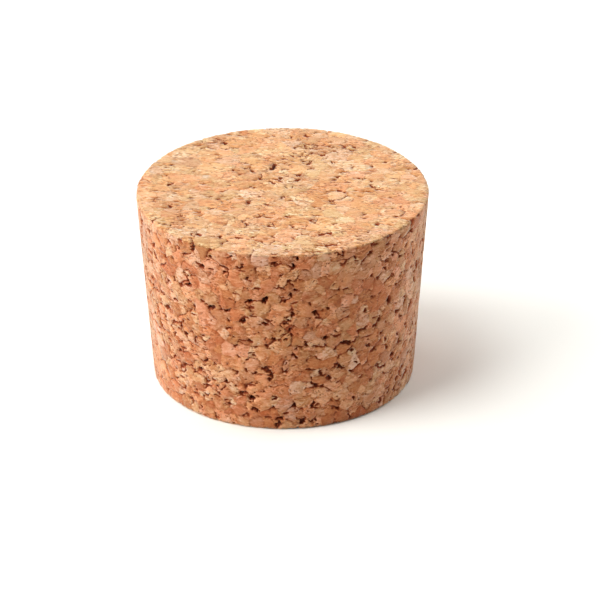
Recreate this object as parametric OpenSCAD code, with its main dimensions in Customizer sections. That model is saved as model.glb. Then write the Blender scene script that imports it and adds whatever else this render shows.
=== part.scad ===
// Tapered stopper of pressed cork granules, standing on its small end.
// Millimetres, +Z up, with the origin at the centre of the face that it stands on.
// The granules lie flat across the stopper, so they look broad on its ends and thin on its
// side. Where three of them meet, the join often stands open: a ragged gap with an arm
// along each of the three seams, or a plain three-cornered one where it is small. The gaps
// come in flocks. They are wide and deep in the turned side, and thin in the cut ends.

/* [Stopper] */
// Diameter of the wide upper end
top_d = 51; // [40:0.5:60]
// Diameter of the small lower end
bottom_d = 46; // [35:0.5:55]
// Height from end to end
height = 35; // [20:0.5:45]
// Rounding of the upper rim
top_edge_r = 0.35; // [0.1:0.05:1.5]
// Rounding of the lower rim
bottom_edge_r = 0.45; // [0.1:0.05:1.5]

/* [Granules] */
// Width of a granule, across the stopper
granule_w = 3.5; // [2.8:0.1:6]
// Thickness of a granule, up the stopper
granule_t = 2.4; // [2:0.1:4]
// How far granules stray from an even pattern, as a share of their spacing
stray = 0.3; // [0:0.05:0.4]
// How unevenly gaps are spread: 0 is evenly, 1 is from none in some stretches to twice the
// share in others
flocking = 0.6; // [0:0.05:1]
// Pattern number: each one scatters the granules and the gaps another way
pattern = 7; // [1:1:99]

/* [Gaps in the side] */
// Share of the joins in the side that stand open
side_share = 0.84; // [0.05:0.01:0.9]
// Depth of the largest gap in the side
side_depth = 1.9; // [0.4:0.05:2.5]
// How far a gap's arms run along a seam, as a share of the seam
side_arm = 0.85; // [0.3:0.05:0.85]
// How far a gap eats into a granule, as a share of the way to its middle
side_bite = 0.6; // [0.1:0.02:0.6]

/* [Gaps in the ends] */
// Share of the joins in each end that stand open
end_share = 0.5; // [0.05:0.01:0.9]
// Depth of the largest gap in an end
end_depth = 1.3; // [0.3:0.05:1.5]
// How far a gap's arms run along a seam, as a share of the seam
end_arm = 0.75; // [0.3:0.05:0.85]
// How far a gap eats into a granule, as a share of the way to its middle
end_bite = 0.36; // [0.06:0.02:0.5]

/* [Finish] */
// Colour of the cork
cork_colour = "tan"; // [tan, burlywood, peru]

/* [Hidden] */
$fn = 96;

// Lean of the side from upright, in degrees
lean = atan((top_d - bottom_d) / 2 / height);
// Straight pieces in each rounded rim
rim_steps = 5;
// How far a gap's cutter starts outside the skin
proud = 0.1;
// Granules along and across one stretch that has its own share of gaps
stretch = 3;
// Gaps smaller than this share of the largest are plain, with three corners
plain_below = 0.55;
// Smallest gap, as a share of the largest
smallest = 0.35;
// Share of its arm that a gap keeps where the seam's other end stands open too
shared = 0.55;
// Shortest half seam at an open join, as a share of a granule's width
shortest_seam = 0.06;
// Plain ring between the gaps in an end and those that come in from the side
rim_clear = side_depth + granule_w / 3;

// Rows of granules up the side, and granules in each row
side_rows = round(height / granule_t);
side_columns = round(PI * (top_d + bottom_d) / 2 / granule_w);
// Height of one row
side_row_t = height / side_rows;

// A pattern of granules is [number, columns round it or 0 on a flat face, width, row
// height, share of its joins that stand open]
side_pattern = [0, side_columns, granule_w, side_row_t, side_share];
top_pattern = [1, 0, granule_w, granule_w, end_share];
bottom_pattern = [2, 0, granule_w, granule_w, end_share];

// A number from 0 to 1 that belongs to one place and purpose, the same in every build
function chance(number, row, column, purpose) =
    let (turn = 19.19 * pattern + 57.3 * number + 127.1 * row + 311.7 * column + 74.7 * purpose)
    let (s = 43758.5453 * sin(turn))
    s - floor(s);

// Middle of a granule, in a pattern of staggered rows
function granule(of, row, column) =
    let (c = of[1] > 0 ? (column + of[1]) % of[1] : column)
    [
        of[2] * (column + (abs(row) % 2) / 2 + stray * (2 * chance(of[0], row, c, 1) - 1)),
        of[3] * (row + 0.5 + stray * (2 * chance(of[0], row, c, 2) - 1))
    ];

// A join is [row, column, 1 or -1]: two granules of that row meet one of the row above (1)
// or below (-1). These are its three granules, anticlockwise.
function trio(of, j) =
    let (
        first = granule(of, j[0], j[1]),
        second = granule(of, j[0], j[1] + 1),
        lone = granule(of, j[0] + j[2], j[1] + abs(j[0]) % 2)
    )
    j[2] > 0 ? [first, second, lone] : [second, first, lone];

// The join at the other end of each of its three seams, in the same order
function next_joins(j) =
    let (lone = j[1] + abs(j[0]) % 2, row = j[0] + j[2])
    j[2] > 0
        ? [[j[0], j[1], -1], [row, lone, -1], [row, lone - 1, -1]]
        : [[j[0], j[1], 1], [row, lone - 1, 1], [row, lone, 1]];

// The point that lies equally far from three others
function middle(g) =
    let (
        b = g[1] - g[0],
        c = g[2] - g[0],
        d = 2 * (b.x * c.y - b.y * c.x)
    )
    g[0] + [c.y * (b * b) - b.y * (c * c), b.x * (c * c) - c.x * (b * b)] / d;

// How far a point lies to the left of the line from one granule to the next
function left_of(p, a, b) = ((b.x - a.x) * (p.y - a.y) - (b.y - a.y) * (p.x - a.x)) / norm(b - a);

// True where the join lies well inside the triangle of its granules
function is_clean(g) =
    min([for (i = [0 : 2]) left_of(middle(g), g[i], g[(i + 1) % 3])]) > shortest_seam * granule_w;

// Number that sets a join apart from its granules' own
function key(of, j) = 10 * (of[0] + 1) + j[2];

// Column of a join, the same once round the side
function wrapped(of, j) = of[1] > 0 ? (j[1] + of[1]) % of[1] : j[1];

// Share of the joins that stand open in the stretch round a join
function share_near(of, j) =
    let (
        row = floor(j[0] / stretch),
        column = floor(wrapped(of, j) / stretch)
    )
    of[4] * (1 + flocking * (2 * chance(of[0], row, column, 5) - 1));

// True where the join stands open
function is_open(of, j) =
    chance(key(of, j), j[0], wrapped(of, j), 3) < share_near(of, j) && is_clean(trio(of, j));

// Outline of a gap: an arm along a seam, a bite into the next granule, and so on round. The
// bites shrink with the gap's size, and the arms less than that. A small gap has no bites.
function outline(of, j, size, arm, bite) =
    let (g = trio(of, j), m = middle(g), next = next_joins(j))
    [
        for (i = [0 : 2], at_seam = size < plain_below ? [true] : [true, false])
            let (
                luck = chance(key(of, j), j[0], wrapped(of, j), (at_seam ? 10 : 20) + i),
                far = trio(of, next[i]),
                seam_end = is_clean(far) ? middle(far) : (g[i] + g[(i + 1) % 3]) / 2,
                reach = sqrt(size) * (is_open(of, next[i]) ? shared * arm : arm)
            )
            at_seam
                ? m + reach * (0.3 + 0.7 * luck) * (seam_end - m)
                : m + size * bite * (0.3 + 0.7 * luck) * (g[(i + 1) % 3] - m)
    ];

// Size of a gap, as a share of the largest
function gap_size(of, j) =
    smallest + (1 - smallest) * pow(chance(key(of, j), j[0], wrapped(of, j), 4), 2);

// Place on the leaning side, or a distance out from it, of a point in the side's pattern
function on_side(p, out) =
    let (turn = 360 * p.x / (side_columns * granule_w), r = side_r(p.y) + out * cos(lean))
    [r * cos(turn), r * sin(turn), p.y - out * sin(lean)];

// Radius of the side at a height above the base
function side_r(z) = (bottom_d + (top_d - bottom_d) * z / height) / 2;

// Points of an arc of radius r about a centre, from one direction to another
function arc(centre, r, from, to) = [
    for (i = [0 : rim_steps])
        let (a = from + (to - from) * i / rim_steps)
        centre + r * [cos(a), sin(a)]
];

// Centre of a rim's rounding, which touches the end face and the leaning side
function rim_centre(z, r) = [side_r(z) - r / cos(lean), z];

// Half section of the plain turned plug, with both rims rounded
module half_section() {
    lower = rim_centre(bottom_edge_r, bottom_edge_r);
    upper = rim_centre(height - top_edge_r, top_edge_r);
    polygon(concat(
        [[0, 0]],
        arc(lower, bottom_edge_r, -90, -lean),
        arc(upper, top_edge_r, -lean, 90),
        [[0, height]]
    ));
}

// Cutter for one gap: a ring of points just outside the skin, closed by a point deep
// inside and by one further out
module cutter(ring, inside, outside) {
    n = len(ring);
    polyhedron(
        points = concat(ring, [inside, outside]),
        faces = concat(
            [for (i = [0 : n - 1]) [i, (i + 1) % n, n]],
            [for (i = [0 : n - 1]) [(i + 1) % n, i, n + 1]]
        )
    );
}

// Gaps in the leaning side
module side_gaps() {
    of = side_pattern;
    for (row = [0 : side_rows - 1], column = [0 : side_columns - 1], lone_at = [1, -1]) {
        j = [row, column, lone_at];
        if (is_open(of, j)) {
            m = middle(trio(of, j));
            size = gap_size(of, j);
            cutter(
                [for (p = outline(of, j, size, side_arm, side_bite)) on_side(p, proud)],
                on_side(m, -size * side_depth),
                on_side(m, 2 * proud)
            );
        }
    }
}

// Gaps in one flat end of diameter d, whose face is at z = 0 and looks along +Z
module end_gaps(of, d) {
    span = ceil(d / 2 / granule_w) + 1;
    for (row = [-span : span], column = [-span : span], lone_at = [1, -1]) {
        j = [row, column, lone_at];
        m = middle(trio(of, j));
        if (norm(m) > granule_w / 2 && norm(m) < d / 2 - rim_clear && is_open(of, j)) {
            size = gap_size(of, j);
            cutter(
                [for (p = outline(of, j, size, end_arm, end_bite)) [p.x, p.y, proud]],
                [m.x, m.y, -size * end_depth],
                [m.x, m.y, 2 * proud]
            );
        }
    }
}

// The whole stopper: one turned piece with its gaps
module stopper() {
    color(cork_colour)
        difference() {
            rotate_extrude() half_section();
            side_gaps();
            translate([0, 0, height]) end_gaps(top_pattern, top_d);
            rotate([180, 0, 0]) end_gaps(bottom_pattern, bottom_d);
        }
}

stopper();
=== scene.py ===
"""Looks of the pressed cork stopper: granules, gaps, colours, floor, lamps and camera.

Lengths of the pattern are in millimetres, as in the part's source, whose rule for placing
granules is repeated here. Meshes are in metres, in the frame of the part, +Z up.
"""
import itertools
import math

import bpy
import numpy as np
from mathutils import Matrix, Vector, kdtree
from mathutils.bvhtree import BVHTree


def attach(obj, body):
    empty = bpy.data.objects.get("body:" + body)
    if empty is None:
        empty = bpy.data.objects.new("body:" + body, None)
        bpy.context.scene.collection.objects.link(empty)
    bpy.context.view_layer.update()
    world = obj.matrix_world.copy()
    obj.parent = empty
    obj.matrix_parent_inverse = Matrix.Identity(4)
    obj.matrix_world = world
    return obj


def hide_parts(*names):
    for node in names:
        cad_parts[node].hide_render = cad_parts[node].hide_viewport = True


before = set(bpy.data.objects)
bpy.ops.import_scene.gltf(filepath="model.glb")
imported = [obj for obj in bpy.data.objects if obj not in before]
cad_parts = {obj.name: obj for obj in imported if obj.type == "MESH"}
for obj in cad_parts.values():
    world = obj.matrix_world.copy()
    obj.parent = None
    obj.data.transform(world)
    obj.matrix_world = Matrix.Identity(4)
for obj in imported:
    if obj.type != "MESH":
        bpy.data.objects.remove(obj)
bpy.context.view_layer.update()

MM = 0.001
NODE = "stopper"

# Granules, as in the part's source
GRANULE_W = 3.5
GRANULE_T = 2.4
STRAY = 0.3
PATTERN = 7
# How deep the middles of granules lie below the side and below the ends
SIDE_INSET = 0.8
END_INSET = 0.6

# Small chips squeezed between granules: how many at most, how many places are tried for each,
# how far they are set back in the contest for space, and how near a join they lie
CHIPS = 1500
TRIES_PER_CHIP = 6
CHIP_HANDICAP = (0.2, 0.9)
CHIP_CORNER = 0.4
# Share of granules that look like one with their nearest neighbour
JOINED_SHARE = 0.28
# How far the lightness of granules spreads, and how much paler chips are, as natural logs
TONE_SPREAD = 0.57
CHIP_PALER = 0.13

# Mesh of the skin: cells across an end, rows up the side, and triangles kept in all
END_CELLS = 300
SIDE_ROWS = 275
RIM_STEPS = 4
TRIANGLES = 190000
# Upright part of the normal from which a point belongs to an end
END_NORMAL = 0.7

# Wander of the seams: (cell of the wander, distance), coarse to fine
SEAM_WANDER = ((1.7, 0.36), (0.7, 0.12), (0.32, 0.09))
# The same for the walls of the part's gaps, which stay close to their places
GAP_WANDER = ((1.2, 0.16), (0.5, 0.22), (0.28, 0.2))
# Distances from a rim over which the wander of the gaps sets in
STILL_BAND = (0.1, 1.0)
# Depth from which a gap has broken cork beside it
DEEP = 0.45

# How much flatter than wide everything small is, on the side and on the ends
SIDE_FLATNESS = (1, 1, 1.7)
END_FLATNESS = (1, 2.1, 1)
# Cells of the relief's noises
COARSE_CELL = 1.4
MIDDLING_CELL = 0.7
ROUGH_CELL = 0.36
# Loose crumbs, much smaller than chips
CRUMB_W = 0.62
# Crumbly stretches: the cell of their main noise, (cell, weight) of a finer and of a wider one,
# and the range of their sum over which sound cork turns crumbly
LOOSE_CELL = 3.2
LOOSE_FINER = (1.6, 0.5)
LOOSE_WIDER = (9.0, 0.7)
LOOSE_RANGE = (-0.3, 0.85)
# Distance from a deep gap within which cork is broken too, and how much of it that fades over
BESIDE_REACH = 1.3
BESIDE_FADE = 0.9

# From here on, a pair whose name ends in _AT is (on the ends, on the side); _LOOSE is what
# crumbly stretches add to a value, and _BESIDE what the neighbourhood of a deep gap adds.

# Open gaps: how ragged their walls are, the depths over which their lip falls away, the share
# of crumbs that are left in them, and how much of the depth stays where one is
GAP_ROUGH = 0.14
GAP_MIDDLING = 0.1
GAP_LIP = (0.04, 0.16)
LEFT_SHARE = 0.16
LEFT_DEPTH = 0.4

# Pits where three granules meet: share of such joins, and radius and depth of the smallest,
# with what is added for the largest
PIT_SHARE_AT = (0.09, 0.17)
PIT_SHARE_LOOSE = 0.48
PIT_R = 0.05
PIT_R_MORE = 0.3
PIT_RAGGED = 0.4
PIT_WALL = 0.1
PIT_DEPTH = 0.25
PIT_DEPTH_MORE = 0.45

# Cracks along seams: share of seams, more of them among those that lie level, and half width
CRACK_SHARE_AT = (0.05, 0.08)
CRACK_SHARE_LOOSE = 0.25
CRACK_SHARE_BESIDE = 0.18
LEVEL_RANGE = (0.3, 0.85)
UPRIGHT_FACTOR = 0.35
LEVEL_FACTOR_MORE = 1.3
CRACK_HALF = 0.05
CRACK_ROUGH = 0.06
CRACK_MIDDLING = 0.05
CRACK_COARSE = (-0.3, 0.3)
CRACK_HALF_BESIDE = 0.04
CRACK_HALF_LEVEL = 0.02
CRACK_WALL = (-0.05, 0.04)
CRACK_DEPTH = 0.12
CRACK_DEPTH_MORE = 0.35

# Specks where a crumb fell out: share of crumbs, and radius of the hole
SPECK_SHARE = 0.01
SPECK_SHARE_LOOSE = 0.17
SPECK_SHARE_BESIDE = 0.14
SPECK_R = 0.08
SPECK_R_MORE = 0.16
SPECK_WALL = (-0.03, 0.06)
SPECK_DEPTH = 0.3

# Slits that lie level: the room for each, how much flatter than wide they are on the side and
# on the ends, the share of those rooms that have one, and its half height
SLIT_W = 0.9
SIDE_SLIT = (0.6, 0.6, 2.0)
END_SLIT = (0.5, 1.8, 1)
SLIT_SHARE_AT = (0.07, 0.03)
SLIT_SHARE_LOOSE_AT = (0.4, 0.08)
SLIT_SHARE_BESIDE = 0.08
SLIT_HALF = 0.18
SLIT_HALF_MORE = 0.3
SLIT_ROUGH = 0.08
SLIT_WALL = (-0.04, 0.06)
SLIT_DEPTH = 0.4

# Rims: how deep crumbs are broken from them, which crumbs those are, and how far from the rim
# that reaches and over what distance it fades; then how deep they are worn, how much that
# varies, and its reach and fade
BROKEN_DEPTH = 0.3
BROKEN_CRUMBS = (0.6, 0.9)
BROKEN_REACH = 0.5
BROKEN_FADE = 0.4
WORN_DEPTH = 0.05
WORN_MIDDLING = 0.06
WORN_REACH = 0.7
WORN_FADE = 0.6

# Unevenness of the granules: how far one stands proud or low, how much it leans, how deep and
# wide the dip at its seams is, how high its waves and crumbs are, and how much of the crumbs'
# height sound cork keeps
LIFT = 0.06
LEAN = 0.05
MOST_LEAN = 0.08
DIP = 0.045
DIP_HALF = 0.25
WAVES_ROUGH = 0.018
WAVES_MIDDLING = 0.022
CRUMB_HEIGHT = 0.1
SOUND_CRUMBS = 0.25
# How much of all that the cut ends keep
END_CALM = 0.4
# The most that anything stands proud of the skin
MOST_PROUD = 0.08
# Flaws shallower than this also lower the granule's own level, by this share of their depth
SHALLOW = 0.3
SHALLOW_SHARE = 0.6

# Random numbers of 24 bits: what stirs whole numbers into them
STIR = np.uint64(0x9E3779B97F4A7C15)
STIR_SHIFT = np.uint64(29)
LUCK_BITS = 24


class Salt:
    """What each stream of random numbers is for; where one has axes, each adds its number."""

    JOINED = 5
    PIT = 7
    PIT_SIZE = 8
    CRACK = 9
    LIFT = 11
    LEAN = 12
    TONE = 21
    TONE_TOO = 22
    COARSE = 41
    ROUGH = 42
    MIDDLING = 46
    LOOSE = 47
    LOOSE_WIDER = 48
    LOOSE_FINER = 49
    CRUMB = 50
    SPECK_SIZE = 60
    SLIT_SIZE = 61
    SLIT = 80


def luck(*keys):
    """A random number from 0 to 1 for each row of whole numbers, the same in every run."""
    mixed = np.zeros(np.shape(keys[0]), np.uint64)
    for key in keys:
        whole = np.asarray(key).astype(np.int64).astype(np.uint64)
        mixed = (mixed ^ whole) * STIR
        mixed = mixed ^ (mixed >> STIR_SHIFT)
    return (mixed >> np.uint64(64 - LUCK_BITS)).astype(float) / 2**LUCK_BITS


def luck_again(random, salt):
    """Another random number for each one that luck gave."""
    return luck((random * 2**LUCK_BITS).astype(np.int64), salt)


def soft_noise(points, cell, salt):
    """Smooth random numbers from -1 to 1 at points, with bumps about one cell wide."""
    scaled = points / cell
    low = np.floor(scaled).astype(np.int64)
    part = scaled - low
    fade = part * part * (3 - 2 * part)
    total = np.zeros(len(points))
    for corner in itertools.product((0, 1), repeat=3):
        share = np.prod(np.where(corner, fade, 1 - fade), axis=1)
        at = low + np.array(corner)
        total += share * luck(*at.T, salt)
    return 2 * total - 1


def crumbs(points, cell, salt):
    """A random number of the crumb that each point lies in, and how far its middle is."""
    scaled = points / cell
    low = np.floor(scaled).astype(np.int64)
    best = np.full(len(points), np.inf)
    own = np.zeros(len(points))
    for step in itertools.product((-1, 0, 1), repeat=3):
        at = low + np.array(step)
        middle = at + np.stack([luck(*at.T, salt + axis) for axis in range(3)], axis=1)
        away = np.linalg.norm(scaled - middle, axis=1)
        closer = away < best
        best = np.where(closer, away, best)
        own = np.where(closer, luck(*at.T, salt + 3), own)
    return own, best * cell


def ramp(x, low, high):
    """0 up to low, 1 from high, and smooth between."""
    t = np.clip((x - low) / (high - low), 0, 1)
    return t * t * (3 - 2 * t)


def tree_of(points):
    """A tree that finds the nearest of some points."""
    tree = kdtree.KDTree(len(points))
    for i, point in enumerate(points):
        tree.insert(point, i)
    tree.balance()
    return tree


def store(mesh, name, values, domain="POINT"):
    """Keeps numbers or vectors as an attribute of a mesh."""
    single = values.ndim == 1
    attribute = mesh.attributes.new(name, "FLOAT" if single else "FLOAT_VECTOR", domain)
    flat_values = values.astype(np.float32).ravel()
    attribute.data.foreach_set("value" if single else "vector", flat_values)


def read_points(mesh, name):
    """Vectors that a mesh keeps for its points."""
    values = np.zeros(len(mesh.vertices) * 3, np.float32)
    mesh.attributes[name].data.foreach_get("vector", values)
    return values.reshape(-1, 3).astype(float)


def read_corners(mesh, name):
    """The same for the three corners of each face."""
    corners = np.zeros(len(mesh.loops), np.int32)
    mesh.loops.foreach_get("vertex_index", corners)
    return read_points(mesh, name)[corners.reshape(-1, 3)]


# ---------------------------------------------------------------- the plain skin


class Skin:
    """The turned plug without its gaps, measured from the CAD node, in millimetres."""

    def __init__(self, cad):
        points = np.zeros(len(cad.data.vertices) * 3)
        cad.data.vertices.foreach_get("co", points)
        points = points.reshape(-1, 3) / MM
        radius = np.hypot(points[:, 0], points[:, 1])
        z = points[:, 2]
        self.height = z.max()
        # the widest points close to each end lie just beside its rim
        near = 1.0
        low = np.argmax(np.where(z < near, radius, 0))
        high = np.argmax(np.where(z > self.height - near, radius, 0))
        self.slope = (radius[high] - radius[low]) / (z[high] - z[low])
        self.bottom_r = radius[low] - self.slope * z[low]
        self.top_r = self.side_r(self.height)
        self.lean = math.atan(self.slope)
        # the end faces, and from their edges the radii of both rims
        flat = 0.001
        self.flat_low_r = radius[z < flat].max()
        self.flat_high_r = radius[z > self.height - flat].max()
        self.edge_low = (self.bottom_r - self.flat_low_r) / (1 / math.cos(self.lean) - self.slope)
        self.edge_high = (self.top_r - self.flat_high_r) / (1 / math.cos(self.lean) + self.slope)

    def side_r(self, z):
        """Radius of the leaning side at a height."""
        return self.bottom_r + self.slope * z

    def section(self):
        """(radius, z) from the edge of the lower flat, up the side, to the edge of the upper."""
        points = []
        for step in range(RIM_STEPS):
            a = math.radians(-90) + (math.radians(90) - self.lean) * step / RIM_STEPS
            r = self.flat_low_r + self.edge_low * math.cos(a)
            points.append((r, self.edge_low * (1 + math.sin(a))))
        z_low = self.edge_low * (1 - math.sin(self.lean))
        z_high = self.height - self.edge_high * (1 + math.sin(self.lean))
        for row in range(SIDE_ROWS + 1):
            z = z_low + (z_high - z_low) * row / SIDE_ROWS
            points.append((self.side_r(z), z))
        for step in range(1, RIM_STEPS + 1):
            a = -self.lean + (math.radians(90) + self.lean) * step / RIM_STEPS
            r = self.flat_high_r + self.edge_high * math.cos(a)
            points.append((r, self.height - self.edge_high * (1 - math.sin(a))))
        return points


def disc_points(radius, z):
    """A square grid bent to fill a disc, as (END_CELLS + 1) squared points."""
    side = np.linspace(-1, 1, END_CELLS + 1)
    b, a = np.meshgrid(side, side, indexing="ij")
    wide = np.abs(a) >= np.abs(b)
    r = np.where(wide, a, b)
    safe = np.where(r == 0, 1, r)
    angle = np.where(wide, b / safe * math.pi / 4, math.pi / 2 - a / safe * math.pi / 4)
    return np.stack(
        [radius * r * np.cos(angle), radius * r * np.sin(angle), np.full_like(r, z)], axis=-1
    ).reshape(-1, 3)


def disc_border():
    """Indices of the border points of such a grid, anticlockwise from its lower right corner."""
    n = END_CELLS
    grid = np.arange((n + 1) ** 2).reshape(n + 1, n + 1)
    return np.concatenate([grid[:-1, n], grid[n, n:0:-1], grid[n:0:-1, 0], grid[0, :-1]])


def disc_quads(start, up):
    """Quads of such a grid whose points begin at start, looking up or down."""
    grid = start + np.arange((END_CELLS + 1) ** 2).reshape(END_CELLS + 1, END_CELLS + 1)
    corners = [grid[:-1, :-1], grid[:-1, 1:], grid[1:, 1:], grid[1:, :-1]]
    if not up:
        corners.reverse()
    return np.stack(corners, axis=-1).reshape(-1, 4)


def skin_mesh(skin):
    """The plug as an even mesh of small quads: its points in millimetres, and the mesh."""
    section = skin.section()
    bottom = disc_points(skin.flat_low_r, 0)
    top = disc_points(skin.flat_high_r, skin.height)
    border = disc_border()
    columns = len(border)
    turn = math.radians(-45) + np.arange(columns) * 2 * math.pi / columns
    rings = [
        np.stack([r * np.cos(turn), r * np.sin(turn), np.full(columns, z)], axis=-1)
        for r, z in section[1:-1]
    ]
    points = np.concatenate([bottom, top, *rings])
    ring_start = len(bottom) + len(top)
    ring_at = ring_start + np.arange(len(rings) * columns).reshape(len(rings), columns)
    ring_at = np.concatenate([[border], ring_at, [len(bottom) + border]])
    following = np.roll(ring_at, -1, axis=1)
    side_quads = np.stack([ring_at[:-1], following[:-1], following[1:], ring_at[1:]], axis=-1)
    bottom_quads = disc_quads(0, up=False)
    top_quads = disc_quads(len(bottom), up=True)
    quads = np.concatenate([bottom_quads, top_quads, side_quads.reshape(-1, 4)])
    mesh = bpy.data.meshes.new("cork_stopper")
    mesh.vertices.add(len(points))
    mesh.vertices.foreach_set("co", (points * MM).ravel())
    mesh.loops.add(quads.size)
    mesh.loops.foreach_set("vertex_index", quads.ravel())
    mesh.polygons.add(len(quads))
    mesh.polygons.foreach_set("loop_start", np.arange(len(quads)) * 4)
    mesh.update(calc_edges=True)
    return points, mesh


# ---------------------------------------------------------------- granules


def chance(number, row, column, purpose):
    """The part's own random number for one place and purpose, by the rule in its source."""
    turn = 19.19 * PATTERN + 57.3 * number + 127.1 * row + 311.7 * column + 74.7 * purpose
    s = 43758.5453 * math.sin(math.radians(turn))
    return s - math.floor(s)


def granule(number, row, column, width, thickness, around=0):
    """Middle of a granule in a flat pattern of staggered rows."""
    c = column % around if around else column
    return (
        width * (column + (abs(row) % 2) / 2 + STRAY * (2 * chance(number, row, c, 1) - 1)),
        thickness * (row + 0.5 + STRAY * (2 * chance(number, row, c, 2) - 1)),
    )


def granule_middles(skin):
    """Middles of the granules under the side and both ends."""
    middles = []
    rows = round(skin.height / GRANULE_T)
    columns = round(math.pi * (skin.top_r + skin.bottom_r) / GRANULE_W)
    for row, column in itertools.product(range(rows), range(columns)):
        x, z = granule(0, row, column, GRANULE_W, skin.height / rows, columns)
        turn = 2 * math.pi * x / (columns * GRANULE_W)
        r = skin.side_r(z) - SIDE_INSET * math.cos(skin.lean)
        raised = z + SIDE_INSET * math.sin(skin.lean)
        middles.append((r * math.cos(turn), r * math.sin(turn), raised))
    for number, radius, z, flip in (
        (1, skin.top_r, skin.height - END_INSET, 1),
        (2, skin.bottom_r, END_INSET, -1),
    ):
        span = math.ceil(radius / GRANULE_W) + 1
        for row, column in itertools.product(range(-span, span + 1), repeat=2):
            x, y = granule(number, row, column, GRANULE_W, GRANULE_W)
            if math.hypot(x, y) < radius - SIDE_INSET - GRANULE_W / 4:
                middles.append((x, flip * y, z))
    return np.array(middles)


class Granules:
    """Every granule: its middle, its handicap in the contest for space, and its looks' number."""

    def __init__(self, middles, handicaps, looks):
        self.middles = middles
        self.handicaps = handicaps
        self.looks = looks
        spread = luck(looks, Salt.TONE) + luck(looks, Salt.TONE_TOO) - 1
        self.tones = TONE_SPREAD * spread + CHIP_PALER * (handicaps > 0)
        self.tree = tree_of(middles)

    def nearest(self, points, count, among=9):
        """Numbers of the granules that win each point, and their distances, nearest first."""
        found = np.array(
            [[(hit[1], hit[2]) for hit in self.tree.find_n(p, among)] for p in points.tolist()]
        )
        numbers = found[:, :, 0].astype(int)
        distances = found[:, :, 1] + self.handicaps[numbers]
        order = np.argsort(distances, axis=1)[:, :count]
        return np.take_along_axis(numbers, order, 1), np.take_along_axis(distances, order, 1)


def make_granules(skin, points):
    """The part's granules, with small chips added where three of them meet."""
    middles = granule_middles(skin)
    whole = len(middles)
    plain = Granules(middles, np.zeros(whole), np.arange(whole))
    random = np.random.default_rng(PATTERN)
    tries = points[random.choice(len(points), CHIPS * TRIES_PER_CHIP, replace=False)]
    distances = plain.nearest(tries, 3)[1]
    at_corner = (distances[:, 2] - distances[:, 0]) / 2 < CHIP_CORNER
    chips = tries[at_corner][:CHIPS]
    chips = chips * (1 - SIDE_INSET / 2 / np.linalg.norm(chips, axis=1, keepdims=True))
    handicaps = np.concatenate([np.zeros(whole), random.uniform(*CHIP_HANDICAP, len(chips))])
    looks = np.arange(whole + len(chips))
    joined = luck(looks[:whole], Salt.JOINED) < JOINED_SHARE
    for i in np.nonzero(joined)[0]:
        looks[i] = plain.tree.find_n(middles[i], 2)[1][1]
    return Granules(np.concatenate([middles, chips]), handicaps, looks)


# ---------------------------------------------------------------- relief


def wander(points, normals, levels):
    """Shifts along the skin that make seams and gaps wander as broken cork does."""
    shift = np.zeros_like(points)
    for level, (cell, distance) in enumerate(levels):
        for axis in range(3):
            salt = 10 * level + axis
            shift[:, axis] += distance * soft_noise(points, cell, salt)
    return shift - normals * np.sum(shift * normals, axis=1, keepdims=True)


def from_rim(points, skin):
    """How far points lie from the nearer rim."""
    radius = np.hypot(points[:, 0], points[:, 1])
    upper = np.hypot(skin.top_r - radius, skin.height - points[:, 2])
    lower = np.hypot(skin.bottom_r - radius, points[:, 2])
    return np.minimum(upper, lower)


def gap_depths(cad, points, normals):
    """How deep the CAD surface lies below each point of the skin."""
    tree = BVHTree.FromObject(cad, bpy.context.evaluated_depsgraph_get())
    # each ray starts a little outside the skin
    start = 0.5
    reach = 4.0
    origins = ((points + start * normals) * MM).tolist()
    depths = np.zeros(len(points))
    for i, (origin, inward) in enumerate(zip(origins, (-normals).tolist())):
        distance = tree.ray_cast(origin, inward, reach * MM)[3]
        if distance is not None:
            depths[i] = distance / MM - start
    return np.clip(depths, 0, None)


def from_gaps(points, gaps):
    """How far points lie from the nearest deep part of a gap."""
    tree = tree_of(points[gaps > DEEP])
    return np.array([tree.find(point)[2] for point in points.tolist()])


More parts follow.
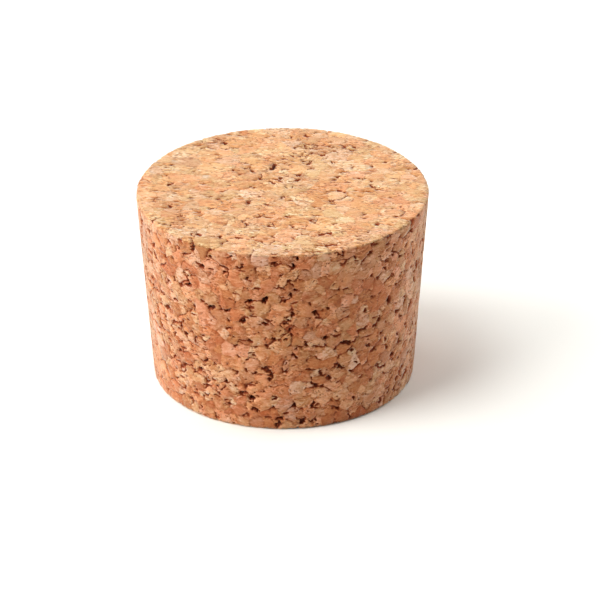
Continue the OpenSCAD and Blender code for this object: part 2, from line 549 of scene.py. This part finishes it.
class Relief:
    """How deep each point of the skin is pressed in by each kind of flaw that cork has."""

    def __init__(self, grain, granules, is_end, gaps, gap_away, rim_away):
        self.grain = grain
        self.middles = granules.middles
        self.is_end = is_end
        self.gaps = gaps
        self.rim_away = rim_away
        self.numbers, distances = granules.nearest(grain, 3)
        looks = granules.looks[self.numbers]
        self.same = looks[:, 0] == looks[:, 1]
        self.seam = (distances[:, 1] - distances[:, 0]) / 2
        self.corner = (distances[:, 2] - distances[:, 0]) / 2
        flat = grain * np.where(is_end[:, None], END_FLATNESS, SIDE_FLATNESS)
        self.coarse = soft_noise(flat, COARSE_CELL, Salt.COARSE)
        self.middling = soft_noise(flat, MIDDLING_CELL, Salt.MIDDLING)
        self.rough = soft_noise(flat, ROUGH_CELL, Salt.ROUGH)
        self.crumb, self.crumb_away = crumbs(flat, CRUMB_W, Salt.CRUMB)
        cell, weight = LOOSE_FINER
        loose = soft_noise(grain, LOOSE_CELL, Salt.LOOSE)
        loose = loose + weight * soft_noise(grain, cell, Salt.LOOSE_FINER)
        cell, weight = LOOSE_WIDER
        loose = loose + weight * soft_noise(grain, cell, Salt.LOOSE_WIDER)
        self.loose = ramp(loose, *LOOSE_RANGE)
        self.beside = ramp(BESIDE_REACH - gap_away, 0, BESIDE_FADE)

    def at(self, pair):
        """The first of a pair of values on the ends, the second on the side."""
        return np.where(self.is_end, *pair)

    def open_gaps(self):
        """The part's own gaps, with ragged walls and crumbs left in them."""
        ragged = self.gaps + GAP_ROUGH * self.rough + GAP_MIDDLING * self.middling
        left = np.where(self.crumb < LEFT_SHARE, LEFT_DEPTH, 1)
        return ramp(ragged, *GAP_LIP) * self.gaps * left

    def pits(self):
        """Small gaps where three granules meet."""
        trio = np.sort(self.numbers, axis=1).T
        chosen = luck(*trio, Salt.PIT)
        size = luck(*trio, Salt.PIT_SIZE)
        share = self.at(PIT_SHARE_AT) + PIT_SHARE_LOOSE * self.loose
        ragged = 1 + self.rough + PIT_RAGGED * self.middling
        radius = (PIT_R + PIT_R_MORE * size**2) * ragged
        opened = np.where(chosen < share, ramp(radius - self.corner, 0, PIT_WALL), 0)
        return opened * (PIT_DEPTH + PIT_DEPTH_MORE * size)

    def cracks(self):
        """Open seams, more of them among those that lie level than among upright ones."""
        first, second = np.sort(self.numbers[:, :2], axis=1).T
        chosen = luck(first, second, Salt.CRACK)
        across = self.middles[second] - self.middles[first]
        upright = np.where(self.is_end, across[:, 1], across[:, 2])
        level = ramp(np.abs(upright / np.linalg.norm(across, axis=1)), *LEVEL_RANGE)
        share = self.at(CRACK_SHARE_AT) + CRACK_SHARE_LOOSE * self.loose
        share = share * (UPRIGHT_FACTOR + LEVEL_FACTOR_MORE * level)
        share = share + CRACK_SHARE_BESIDE * self.beside
        half = CRACK_HALF + CRACK_ROUGH * self.rough + CRACK_MIDDLING * self.middling
        half = half * ramp(self.coarse, *CRACK_COARSE)
        half = half + CRACK_HALF_BESIDE * self.beside + CRACK_HALF_LEVEL * level
        opened = ramp(half - self.seam, *CRACK_WALL)
        opened = np.where((chosen < share) & ~self.same, opened, 0)
        return opened * (CRACK_DEPTH + CRACK_DEPTH_MORE * ramp(share - chosen, 0, share))

    def specks(self):
        """Holes where a crumb fell out."""
        radius = SPECK_R + SPECK_R_MORE * luck_again(self.crumb, Salt.SPECK_SIZE)
        share = SPECK_SHARE + SPECK_SHARE_LOOSE * self.loose + SPECK_SHARE_BESIDE * self.beside
        opened = ramp(radius - self.crumb_away, *SPECK_WALL)
        return np.where(self.crumb > 1 - share, opened, 0) * SPECK_DEPTH

    def slits(self):
        """Slits that lie level, mostly in crumbly stretches."""
        flatness = np.where(self.is_end[:, None], END_SLIT, SIDE_SLIT)
        chosen, away = crumbs(self.grain * flatness, SLIT_W, Salt.SLIT)
        half = SLIT_HALF + SLIT_HALF_MORE * luck_again(chosen, Salt.SLIT_SIZE)
        half = half + SLIT_ROUGH * self.rough
        share = self.at(SLIT_SHARE_AT) + self.at(SLIT_SHARE_LOOSE_AT) * self.loose
        share = share + SLIT_SHARE_BESIDE * self.beside
        return np.where(chosen > 1 - share, ramp(half - away, *SLIT_WALL), 0) * SLIT_DEPTH

    def rims(self):
        """Crumbs broken from the rims, and their wear."""
        broken = BROKEN_DEPTH * ramp(self.crumb, *BROKEN_CRUMBS)
        broken = broken * ramp(BROKEN_REACH - self.rim_away, 0, BROKEN_FADE)
        worn = WORN_DEPTH + WORN_MIDDLING * self.middling
        return broken, worn * ramp(WORN_REACH - self.rim_away, 0, WORN_FADE)

    def dips(self):
        """The dip along each seam between granules that look different."""
        dip = DIP * ramp(DIP_HALF - self.seam, 0, DIP_HALF) * ~self.same
        return dip * self.at((END_CALM, 1))

    def granule_levels(self):
        """Each granule stands a little proud or low and leans, and its face is uneven."""
        first = self.numbers[:, 0]
        lift = LIFT * (2 * luck(first, Salt.LIFT) - 1)
        lean = np.stack([luck(first, Salt.LEAN + axis) for axis in range(3)], axis=1) - 0.5
        tilt = LEAN * np.sum(lean * (self.grain - self.middles[first]), axis=1)
        waves = WAVES_ROUGH * self.rough + WAVES_MIDDLING * self.middling
        crumbly = SOUND_CRUMBS + (1 - SOUND_CRUMBS) * self.loose
        crumbly = CRUMB_HEIGHT * (self.crumb - 0.5) * crumbly
        level = lift + np.clip(tilt, -MOST_LEAN, MOST_LEAN) + waves + crumbly
        return self.at((END_CALM, 1.0)) * level

    def depths(self):
        """How deep each point lies, and how deep of that is open gap."""
        flaws = [self.open_gaps(), self.pits(), self.cracks(), self.specks(), self.slits()]
        opened = np.maximum.reduce(flaws)
        broken, worn = self.rims()
        level = self.granule_levels() + self.dips() + broken + worn
        level = np.maximum(level, -MOST_PROUD) + SHALLOW_SHARE * opened * (opened < SHALLOW)
        return np.maximum(opened, level), opened


def shaped(mesh, points, normals, depth, opened, grain):
    """The mesh pressed in by its relief and thinned out to its number of triangles."""
    mesh.vertices.foreach_set("co", ((points - normals * depth[:, None]) * MM).ravel())
    store(mesh, "skin", points)
    store(mesh, "grain", grain)
    store(mesh, "depth", opened)
    body = bpy.data.objects.new("cork_stopper", mesh)
    bpy.context.scene.collection.objects.link(body)
    thin = body.modifiers.new("thin", "DECIMATE")
    thin.ratio = TRIANGLES / (2 * len(mesh.polygons))
    thin.use_collapse_triangulate = True
    graph = bpy.context.evaluated_depsgraph_get()
    thinned = bpy.data.meshes.new_from_object(body.evaluated_get(graph), depsgraph=graph)
    body.modifiers.clear()
    body.data = thinned
    bpy.data.meshes.remove(mesh)
    thinned.name = "cork_stopper"
    # nothing stands below the plane that the stopper rests on
    placed = np.zeros(len(thinned.vertices) * 3)
    thinned.vertices.foreach_get("co", placed)
    placed[2::3] = np.maximum(placed[2::3], 0)
    thinned.vertices.foreach_set("co", placed)
    thinned.update()
    return body


def mark_ends(mesh, skin):
    """Tells the ends from the side, for the material."""
    z = read_points(mesh, "skin")[:, 2]
    store(mesh, "end", (z > skin.height - skin.edge_high / 2) | (z < skin.edge_low / 2))


def mark_granules(mesh, granules, count=4):
    """Gives each face the granules that may win its points, for the material to choose from."""
    numbers = granules.nearest(read_corners(mesh, "grain").mean(axis=1), count)[0]
    for place, number in enumerate(numbers.T):
        looks = [granules.looks[number], granules.handicaps[number], granules.tones[number]]
        store(mesh, f"middle_{place}", granules.middles[number], "FACE")
        store(mesh, f"looks_{place}", np.stack(looks, axis=1), "FACE")


def unwrap(mesh, skin):
    """Lays the side out as two strips and the ends as two discs, side by side."""
    page = 125.0
    margin = 2.0
    p = read_corners(mesh, "skin")
    middle = p.mean(axis=1)
    turn = np.arctan2(p[:, :, 1], p[:, :, 0])
    middle_turn = np.arctan2(middle[:, 1], middle[:, 0])[:, None]
    turn = middle_turn + (turn - middle_turn + math.pi) % (2 * math.pi) - math.pi
    radius = (skin.top_r + skin.bottom_r) / 2
    is_top = middle[:, 2] > skin.height - 0.5 * skin.edge_high
    is_bottom = middle[:, 2] < 0.5 * skin.edge_low
    # the strips, one above the other
    second_half = middle_turn[:, 0] > 0
    x = radius * np.where(second_half[:, None], turn, turn + math.pi) + margin
    strip_y = np.where(second_half, 2 * margin + skin.height, margin)
    y = p[:, :, 2] + strip_y[:, None]
    # the discs in a row above them
    row = 3 * margin + 2 * skin.height
    bottom_x = 2 * margin + 2 * skin.top_r + skin.bottom_r
    x = np.where(is_top[:, None], p[:, :, 0] + margin + skin.top_r, x)
    y = np.where(is_top[:, None], p[:, :, 1] + row + skin.top_r, y)
    x = np.where(is_bottom[:, None], p[:, :, 0] + bottom_x, x)
    y = np.where(is_bottom[:, None], p[:, :, 1] + row + skin.bottom_r, y)
    layer = mesh.uv_layers.new(name="OFBake")
    layer.uv.foreach_set("vector", (np.stack([x, y], axis=-1) / page).astype(np.float32).ravel())


# ---------------------------------------------------------------- material


class Nodes:
    """Short ways to add and link the nodes of a material."""

    def __init__(self, material):
        material.use_nodes = True
        self.tree = material.node_tree
        self.tree.nodes.clear()

    def add(self, kind, inputs=None, **settings):
        node = self.tree.nodes.new(kind)
        for name, value in settings.items():
            setattr(node, name, value)
        for name, value in (inputs or {}).items():
            self.feed(node.inputs[name], value)
        return node

    def feed(self, socket, value):
        if isinstance(value, bpy.types.NodeSocket):
            self.tree.links.new(value, socket)
        else:
            socket.default_value = value

    def math(self, operation, *values):
        node = self.add("ShaderNodeMath", operation=operation)
        for socket, value in zip(node.inputs, values):
            self.feed(socket, value)
        return node.outputs[0]

    def vector(self, operation, *values):
        node = self.add("ShaderNodeVectorMath", operation=operation)
        for socket, value in zip(node.inputs, values):
            self.feed(socket, value)
        return node.outputs["Value" if operation == "DISTANCE" else "Vector"]

    def attribute(self, name, output="Vector"):
        return self.add("ShaderNodeAttribute", attribute_name=name).outputs[output]

    def mix(self, kind, factor, first, second):
        node = self.add("ShaderNodeMix", data_type=kind)
        # places of both inputs and of the output that this kind of value uses
        sockets = {"FLOAT": (2, 3, 0), "VECTOR": (4, 5, 1), "RGBA": (6, 7, 2)}[kind]
        self.feed(node.inputs[0], factor)
        self.feed(node.inputs[sockets[0]], first)
        self.feed(node.inputs[sockets[1]], second)
        return node.outputs[sockets[2]]

    def scaled(self, vector, factor):
        node = self.add("ShaderNodeVectorMath", operation="SCALE")
        self.feed(node.inputs[0], vector)
        self.feed(node.inputs["Scale"], factor)
        return node.outputs["Vector"]

    def total(self, values):
        while len(values) > 1:
            values = [self.math("ADD", values[0], values[1]), *values[2:]]
        return values[0]

    def centred(self, value, width):
        """A value from 0 to 1, moved to lie about 0 and scaled to a width."""
        return self.math("MULTIPLY", self.math("SUBTRACT", value, 0.5), width)

    def raised(self, share, least):
        """A share from 0 to 1, changed to run from the least up to 1."""
        return self.math("MULTIPLY_ADD", share, 1 - least, least)

    def between(self, value, low, high):
        """Smooth step of a value from 0 at low to 1 at high."""
        node = self.add("ShaderNodeMapRange", interpolation_type="SMOOTHSTEP")
        self.feed(node.inputs["Value"], value)
        node.inputs["From Min"].default_value = low
        node.inputs["From Max"].default_value = high
        return node.outputs["Result"]

    def noise(self, at, kind, output="Fac"):
        """A noise of one kind, which is its scale, detail and roughness."""
        scale, detail, roughness = kind
        inputs = {"Vector": at, "Scale": scale, "Detail": detail, "Roughness": roughness}
        return self.add("ShaderNodeTexNoise", inputs).outputs[output]

    def cells(self, at, scale):
        """Two random values of the Voronoi cell that a point lies in."""
        colour = self.add("ShaderNodeTexVoronoi", {"Vector": at, "Scale": scale}).outputs["Color"]
        parts = self.add("ShaderNodeSeparateXYZ", {"Vector": colour})
        return parts.outputs["X"], parts.outputs["Y"]

    def ramp(self, factor, stops):
        """The colour that a factor has between stops, each a place from 0 to 1 and a colour."""
        node = self.add("ShaderNodeValToRGB", {"Fac": factor})
        elements = node.color_ramp.elements
        while len(elements) < len(stops):
            elements.new(0.5)
        for element, (place, colour) in zip(elements, stops):
            element.position = place
            element.color = (*colour, 1)
        return node.outputs["Color"]


# Colour of an even granule on a cut end
CORK = (0.67, 0.342, 0.147)
# How fast its red, green and blue change with its lightness: dark cork is redder
FALL = (0.56, 1.13, 1.8)
# The brightest that any of them gets
BRIGHTEST = 0.92
# Natural logs of the least and greatest lightness, against that granule's, and the steps between
DARKEST = -1.5
PALEST = 0.6
TONE_STEPS = 7
# How much of the granules' differences in lightness shows on the cut ends
END_TONES = 0.5
# What the colours are multiplied by on the ground side: partly its own browner colour, partly
# painted shade for the lesser light that falls on the side than on the ends
SIDE_TINT_AND_SHADE = (0.83, 0.645, 0.602)
# What the colours of the reddest and of the yellowest cork are multiplied by
REDDEST = (1.06, 0.925, 0.83)
YELLOWEST = (0.96, 1.045, 1.09)
# The same for the pinkest and for the most olive
PINKEST = (1.016, 0.975, 1.035)
OLIVEST = (0.984, 1.02, 0.96)
# The same for the few grey granules, and the own numbers over which granules turn grey
GREYEST = (0.96, 0.99, 1.08)
GREY_RANGE = (0.84, 0.97)
# Colours of dark flecks and lines; of the walls of gaps, their own darker brown with painted shade
# in it; and of the bottom of gaps, painted shade
SEAM_BROWN = (0.25, 0.06, 0.012)
GAP_BROWN_AND_SHADE = (0.3, 0.05, 0.008)
GAP_CORE_SHADE = (0.1, 0.012, 0.002)
# Depths of a gap, in millimetres, over which the walls' colour and the painted shade at the bottom
# set in, and how ragged that is
WALL_RANGE = (0.05, 0.22)
CORE_SHADE_RANGE = (0.25, 0.8)
DEPTH_RAGGED = 0.3

# Noises of the material: scale per millimetre, detail and roughness
STIR_NOISE = (2.4, 5.0, 0.7)
LOOSE_NOISE = (0.33, 2.0, 0.5)
DRIFT_NOISE = (0.5, 2.0, 0.5)
STREAK_NOISE = (1.0, 4.0, 0.7)
MOTTLE_NOISE = (1.6, 5.0, 0.8)
WARM_NOISE = (0.4, 3.0, 0.5)
PINK_NOISE = (0.5, 3.0, 0.5)
LINE_NOISE = (0.8, 2.0, 0.5)
FUZZ_NOISE = (9.0, 3.0, 0.7)
# Crumbs and flakes of the material, per millimetre
CRUMB_SCALE = 0.85
FLAKE_SCALE = 2.3
# Width, in millimetres, of the band in which the colours' seams stray from the mesh's
STIR_DISTANCE = 0.6
# Noise over which cork turns from sound to crumbly, and distance from a seam that counts as near
LOOSE_COLOURS = (0.38, 0.62)
NEAR_SEAM = 0.45

# How far each kind of detail makes the lightness differ, as natural logs
DRIFT_TONES = 0.6
CRUMB_TONES = 0.5
FLAKE_TONES = 0.7
STREAK_TONES = 1.5
MOTTLE_TONES = 1.5
# Painted shade: how much darker a granule is towards its seams, where the dip between granules
# lies, on the side and on the ends
SEAM_SHADE = -0.14
END_SEAM_SHADE = -0.03
# Share of the crumbs' and flakes' tones that sound cork keeps
SOUND_TONES = 0.15
# Streaks: the most that they are turned from level, in radians, how they are stretched on the
# side and on the ends, the own numbers over which granules turn streaky, and how plain the
# least streaky are
STREAK_TURN = 1.1
SIDE_STREAKS = (0.45, 0.45, 3.4)
END_STREAKS = (0.45, 3.0, 0.45)
STREAKY_RANGE = (0.3, 0.9)
LEAST_STREAKY = 0.3
# How far patches stray from their granule's hue
WARM_PATCHES = 1.8
PINK_PATCHES = 2.4
# Dark flecks: what crumbly cork and seams add to their luck, how ragged they are, the luck over
# which they set in, and how dark they are
FLECK_RAGGED = 0.16
FLECK_MOTTLE = 0.35
FLECK_RANGE = (0.97, 1.07)
FLECK_DARK = 0.7
# Dark lines along seams: half width in millimetres, where along a seam they are, and darkness
LINE_HALF = 0.09
LINE_RANGE = (0.5, 0.65)
LINE_DARK = 0.55
# Heights of the finest relief, which only the shading shows, and their strength and size in metres
MOTTLE_HEIGHT = 0.6
FUZZ_HEIGHT = 0.3
FLAKE_HEIGHT = 0.35
BUMP_STRENGTH = 0.5
BUMP_HEIGHT = 0.00016
# Dry, dusty cork: hardly any gloss, and a warm sheen
SURFACE = {
    "Roughness": 0.65,
    "Specular IOR Level": 0.25,
    "Sheen Weight": 0.8,
    "Sheen Roughness": 0.3,
    "Sheen Tint": (1.0, 0.93, 0.76, 1.0),
}


def cork_tone(lightness):
    """Colour of cork whose lightness has this natural log."""
    return [min(BRIGHTEST, part * math.exp(fall * lightness)) for part, fall in zip(CORK, FALL)]


def cork_ramp(n, lightness):
    """Colour of each lightness that the material works out."""
    steps = [step / TONE_STEPS for step in range(TONE_STEPS + 1)]
    stops = [(step, cork_tone(DARKEST + (PALEST - DARKEST) * step)) for step in steps]
    spread = 1 / (PALEST - DARKEST)
    return n.ramp(n.math("MULTIPLY_ADD", lightness, spread, -DARKEST * spread), stops)


def own_looks(n, place):
    """Looks of the granule that wins a point out of the four its face may belong to, and how
    far the nearest seam is."""
    distances = []
    looks = []
    for i in range(4):
        own = n.attribute(f"looks_{i}")
        handicap = n.add("ShaderNodeSeparateXYZ", {"Vector": own}).outputs["Y"]
        away = n.vector("DISTANCE", place, n.attribute(f"middle_{i}"))
        distances.append(n.math("ADD", away, handicap))
        looks.append(own)
    a, b, c, d = distances
    low_ab = n.math("MINIMUM", a, b)
    low_cd = n.math("MINIMUM", c, d)
    first = n.math("MINIMUM", low_ab, low_cd)
    higher = n.math("MINIMUM", n.math("MAXIMUM", a, b), n.math("MAXIMUM", c, d))
    second = n.math("MINIMUM", n.math("MAXIMUM", low_ab, low_cd), higher)
    look_ab = n.mix("VECTOR", n.math("LESS_THAN", b, a), looks[0], looks[1])
    look_cd = n.mix("VECTOR", n.math("LESS_THAN", d, c), looks[2], looks[3])
    look = n.mix("VECTOR", n.math("LESS_THAN", low_cd, low_ab), look_ab, look_cd)
    seam = n.math("MULTIPLY", n.math("SUBTRACT", second, first), 0.5)
    parts = n.add("ShaderNodeSeparateXYZ", {"Vector": look})
    return parts.outputs["X"], parts.outputs["Z"], seam


def streak_tones(n, flat, own, plainness, is_end):
    """Growth streaks, turned another way in each granule and plain to see in some."""
    turn = n.math("MULTIPLY", own.outputs["Value"], STREAK_TURN)
    turned = {"Vector": flat, "Axis": own.outputs["Color"], "Angle": turn}
    turned = n.add("ShaderNodeVectorRotate", turned, rotation_type="AXIS_ANGLE").outputs["Vector"]
    long_way = n.mix("VECTOR", is_end, SIDE_STREAKS, END_STREAKS)
    streaks = n.noise(n.vector("MULTIPLY", turned, long_way), STREAK_NOISE)
    streaky = n.raised(n.between(plainness, *STREAKY_RANGE), LEAST_STREAKY)
    return n.math("MULTIPLY", n.centred(streaks, STREAK_TONES), streaky)


def hued(n, colour, flat, place, own, own_parts):
    """A colour given the hue of its granule and of the patch of cork that it lies in."""
    patch = n.centred(n.noise(flat, WARM_NOISE), WARM_PATCHES)
    warmth = n.between(n.math("ADD", own_parts.outputs["Y"], patch), 0.0, 1.0)
    red = n.vector("MULTIPLY", colour, REDDEST)
    yellow = n.vector("MULTIPLY", colour, YELLOWEST)
    colour = n.mix("VECTOR", warmth, red, yellow)
    patch = n.centred(n.noise(place, PINK_NOISE), PINK_PATCHES)
    pinkness = n.between(n.math("ADD", own.outputs["Value"], patch), 0.0, 1.0)
    olive = n.vector("MULTIPLY", colour, OLIVEST)
    pink = n.vector("MULTIPLY", colour, PINKEST)
    colour = n.mix("VECTOR", pinkness, olive, pink)
    grey = n.vector("MULTIPLY", colour, GREYEST)
    return n.mix("VECTOR", n.between(own_parts.outputs["X"], *GREY_RANGE), colour, grey)


def cork_material():
    """Granules in their own colours, streaks and crumbs in them, dark flecks, painted shade
    towards seams, and gaps brown with painted shade, darker the deeper.
    """
    material = bpy.data.materials.new("cork")
    n = Nodes(material)
    grain = n.attribute("grain")
    is_end = n.attribute("end", "Fac")

    # break up the seams more finely than the mesh does
    stir = n.vector("SUBTRACT", n.noise(grain, STIR_NOISE, "Color"), (0.5, 0.5, 0.5))
    place = n.vector("ADD", grain, n.scaled(stir, STIR_DISTANCE))
    look, tone, seam = own_looks(n, place)
    own = n.add("ShaderNodeTexWhiteNoise", {"W": look}, noise_dimensions="1D")
    own_parts = n.add("ShaderNodeSeparateXYZ", {"Vector": own.outputs["Color"]})
    flat = n.vector("MULTIPLY", place, n.mix("VECTOR", is_end, SIDE_FLATNESS, END_FLATNESS))

    # lightness drifts inside a granule, and crumbs and flakes differ from it
    loose = n.between(n.noise(grain, LOOSE_NOISE), *LOOSE_COLOURS)
    near_seam = n.between(seam, NEAR_SEAM, 0.0)
    ragged = n.math("MAXIMUM", loose, near_seam)
    crumb = n.cells(flat, CRUMB_SCALE)[0]
    flake, flake_luck = n.cells(flat, FLAKE_SCALE)
    mottle = n.noise(flat, MOTTLE_NOISE)
    crumb_share = n.raised(loose, SOUND_TONES)
    flake_share = n.raised(ragged, SOUND_TONES)
    tones = [
        n.math("MULTIPLY", tone, n.mix("FLOAT", is_end, 1.0, END_TONES)),
        # painted shade: darker towards the seams, where the dip between granules lies
        n.math("MULTIPLY", near_seam, n.mix("FLOAT", is_end, SEAM_SHADE, END_SEAM_SHADE)),
        n.centred(n.noise(flat, DRIFT_NOISE), DRIFT_TONES),
        n.math("MULTIPLY", n.centred(crumb, CRUMB_TONES), crumb_share),
        n.math("MULTIPLY", n.centred(flake, FLAKE_TONES), flake_share),
        streak_tones(n, flat, own, own_parts.outputs["Z"], is_end),
        n.centred(mottle, MOTTLE_TONES),
    ]
    colour = hued(n, cork_ramp(n, n.total(tones)), flat, place, own, own_parts)

    # the ground side is browner than the cut ends, and darker still with painted shade for the
    # lesser light on it
    colour = n.mix("VECTOR", is_end, n.vector("MULTIPLY", colour, SIDE_TINT_AND_SHADE), colour)

    # dark flecks between flakes, mostly near seams and in crumbly stretches, and dark lines
    fleck = n.math("ADD", flake_luck, n.math("MULTIPLY", ragged, FLECK_RAGGED))
    fleck = n.between(n.math("ADD", fleck, n.centred(mottle, FLECK_MOTTLE)), *FLECK_RANGE)
    stretch = n.between(n.noise(place, LINE_NOISE), *LINE_RANGE)
    line = n.math("MULTIPLY", n.between(seam, LINE_HALF, 0.0), stretch)
    fleck = n.math("MULTIPLY", fleck, FLECK_DARK)
    line = n.math("MULTIPLY", line, LINE_DARK)
    colour = n.mix("VECTOR", n.math("MAXIMUM", fleck, line), colour, SEAM_BROWN)

    # gaps: walls in their own darker brown with painted shade, and deeper down painted shade,
    # darker the deeper they are
    depth = n.math("ADD", n.attribute("depth", "Fac"), n.centred(mottle, DEPTH_RAGGED))
    colour = n.mix("VECTOR", n.between(depth, *WALL_RANGE), colour, GAP_BROWN_AND_SHADE)
    colour = n.mix("VECTOR", n.between(depth, *CORE_SHADE_RANGE), colour, GAP_CORE_SHADE)

    heights = [(mottle, MOTTLE_HEIGHT), (n.noise(place, FUZZ_NOISE), FUZZ_HEIGHT)]
    heights.append((flake, FLAKE_HEIGHT))
    height = n.total([n.math("MULTIPLY", value, factor) for value, factor in heights])
    bump = {"Strength": BUMP_STRENGTH, "Distance": BUMP_HEIGHT, "Height": height}
    normal = n.add("ShaderNodeBump", bump).outputs[0]
    inputs = {"Base Color": colour, "Normal": normal, **SURFACE}
    shader = n.add("ShaderNodeBsdfPrincipled", inputs)
    n.add("ShaderNodeOutputMaterial", {"Surface": shader.outputs[0]})
    return material


# ---------------------------------------------------------------- floor, lamps and camera


# Half the width of the floor, in metres
FLOOR_HALF = 4.0
# Its colour as the camera sees it, and as it lights the cork
FLOOR_SEEN = (0.97, 0.97, 0.92, 1)
FLOOR_LIGHT = (0.8, 0.8, 0.78, 1)


def make_floor():
    """A plain white floor that keeps the stopper's shadow."""
    mesh = bpy.data.meshes.new("floor")
    corners = [(-1, -1), (1, -1), (1, 1), (-1, 1)]
    mesh.from_pydata([(x * FLOOR_HALF, y * FLOOR_HALF, 0) for x, y in corners], [], [(0, 1, 2, 3)])
    floor = bpy.data.objects.new("floor", mesh)
    bpy.context.scene.collection.objects.link(floor)
    material = bpy.data.materials.new("floor")
    n = Nodes(material)
    seen = n.add("ShaderNodeLightPath").outputs["Is Camera Ray"]
    white = n.mix("RGBA", seen, FLOOR_LIGHT, FLOOR_SEEN)
    shader = n.add("ShaderNodeBsdfDiffuse", {"Color": white})
    n.add("ShaderNodeOutputMaterial", {"Surface": shader.outputs[0]})
    mesh.materials.append(material)


def direction(azimuth, elevation):
    """Unit vector towards a lamp; azimuth 0 is the camera's side and -90 is the left."""
    a = math.radians(azimuth)
    e = math.radians(elevation)
    return Vector((math.sin(a) * math.cos(e), -math.cos(a) * math.cos(e), math.sin(e)))


def make_sun(name, azimuth, elevation, strength, softness):
    """A far lamp; softness is the angle, in degrees, that it fills in the sky."""
    lamp = bpy.data.lights.new(name, "SUN")
    lamp.energy = strength
    lamp.angle = math.radians(softness)
    sun = bpy.data.objects.new(name, lamp)
    sun.rotation_mode = "QUATERNION"
    sun.rotation_quaternion = (-direction(azimuth, elevation)).to_track_quat("-Z", "Y")
    bpy.context.scene.collection.objects.link(sun)


def make_world(level):
    """Even white light from all sides."""
    world = bpy.data.worlds.new("studio")
    world.use_nodes = True
    background = world.node_tree.nodes["Background"]
    background.inputs["Color"].default_value = (1, 1, 1, 1)
    background.inputs["Strength"].default_value = level
    bpy.context.scene.world = world


# Degrees that the camera looks down, and that it is turned about its own axis
CAMERA_ELEVATION = 27.44
CAMERA_ROLL = -0.28
# Metres from the stopper's middle, and how far right of it and below it the camera aims
CAMERA_DISTANCE = 0.708
AIM_RIGHT = 0.00433
AIM_DOWN = 0.00519
# Millimetres
SENSOR = 36.0
LENS = 235.1


def make_camera(skin):
    """A long lens that looks down on the stopper, which stands left of and above the middle."""
    back = direction(0, CAMERA_ELEVATION)
    middle = Vector((0, 0, skin.height * MM / 2))
    place = middle + back * CAMERA_DISTANCE
    right = Vector((1, 0, 0))
    up = back.cross(right)
    aim = middle + right * AIM_RIGHT - up * AIM_DOWN
    data = bpy.data.cameras.new("camera")
    data.sensor_width = SENSOR
    data.lens = LENS
    camera = bpy.data.objects.new("camera", data)
    camera.location = place
    camera.rotation_mode = "QUATERNION"
    roll = Matrix.Rotation(math.radians(CAMERA_ROLL), 3, "Z").to_quaternion()
    camera.rotation_quaternion = (aim - place).to_track_quat("-Z", "Y") @ roll
    bpy.context.scene.collection.objects.link(camera)
    bpy.context.scene.camera = camera


# ---------------------------------------------------------------- the whole


def make_stopper(cad, skin):
    """The plug's skin, pressed in by its relief, marked for its material and unwrapped."""
    points, mesh = skin_mesh(skin)
    normals = np.zeros(len(points) * 3)
    mesh.vertex_normals.foreach_get("vector", normals)
    normals = normals.reshape(-1, 3)
    is_end = np.abs(normals[:, 2]) > END_NORMAL
    granules = make_granules(skin, points)
    grain = points + wander(points, normals, SEAM_WANDER)
    rim_away = from_rim(points, skin)
    still = ramp(rim_away, *STILL_BAND)[:, None]
    gaps = gap_depths(cad, points + still * wander(points, normals, GAP_WANDER), normals)
    relief = Relief(grain, granules, is_end, gaps, from_gaps(points, gaps), rim_away)
    depth, opened = relief.depths()
    stopper = shaped(mesh, points, normals, depth, opened, grain)
    mark_granules(stopper.data, granules)
    unwrap(stopper.data, skin)
    mark_ends(stopper.data, skin)
    stopper.data.materials.clear()
    stopper.data.materials.append(cork_material())
    stopper.data.shade_smooth()
    return stopper


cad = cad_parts[NODE]
skin = Skin(cad)
stopper = make_stopper(cad, skin)
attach(stopper, "root")
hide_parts(NODE)

make_floor()
make_sun("key", azimuth=-65, elevation=65, strength=1.0, softness=25)
make_sun("left", azimuth=-72, elevation=28, strength=2.85, softness=50)
make_sun("left_back", azimuth=-125, elevation=25, strength=1.25, softness=50)
make_sun("back", azimuth=180, elevation=35, strength=1.1, softness=120)
make_sun("right_back", azimuth=115, elevation=20, strength=1.8, softness=60)
make_world(0.1)
make_camera(skin)

bpy.context.scene.view_settings.view_transform = "Standard"
